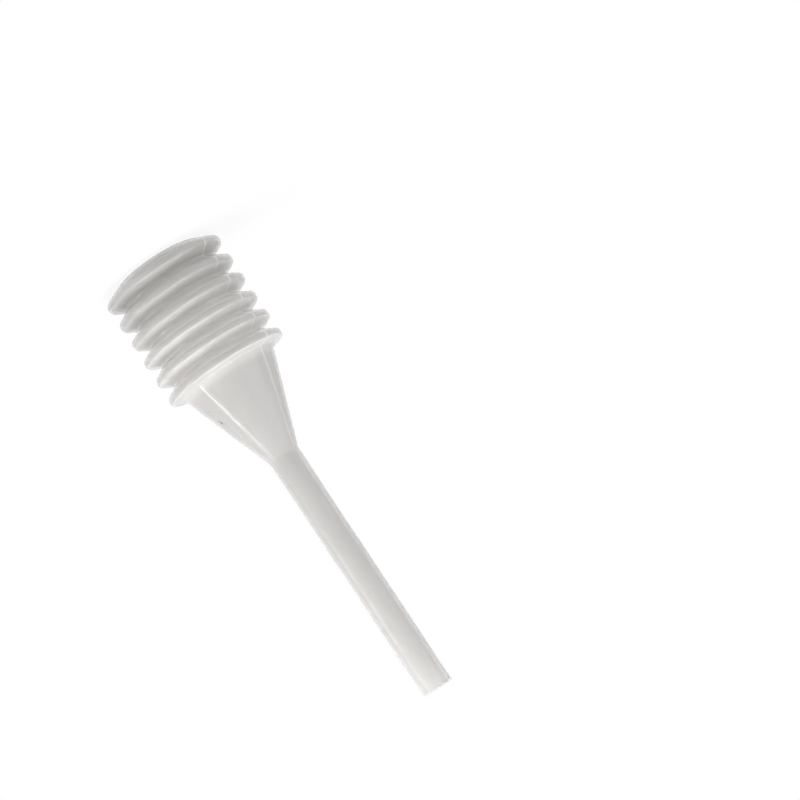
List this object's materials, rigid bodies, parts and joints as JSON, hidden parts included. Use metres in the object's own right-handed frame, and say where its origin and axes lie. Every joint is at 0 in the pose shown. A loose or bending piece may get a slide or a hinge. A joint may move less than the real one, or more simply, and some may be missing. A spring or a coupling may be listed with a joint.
{
  "type": "plastic dropper pipette",
  "caption": "Squeeze dropper with a ribbed bellows bulb, a cone and a straight open stem, blow moulded in translucent plastic.",
  "frame": {"origin": "centre of the flat ring of the closed end, where the pipette stands", "axes": "+Z along the pipette's own axis, from the closed end to the mouth; +X along the pinched seam, in the plane where the mould's halves meet"},
  "size_m": [0.0262, 0.0262, 0.1001],
  "materials": {
    "natural_polythene": "natural low-density polythene, milky translucent, satin as blow moulded"
  },
  "bodies": {
    "root": {"pipette": "natural_polythene"}
  },
  "joints": []
}
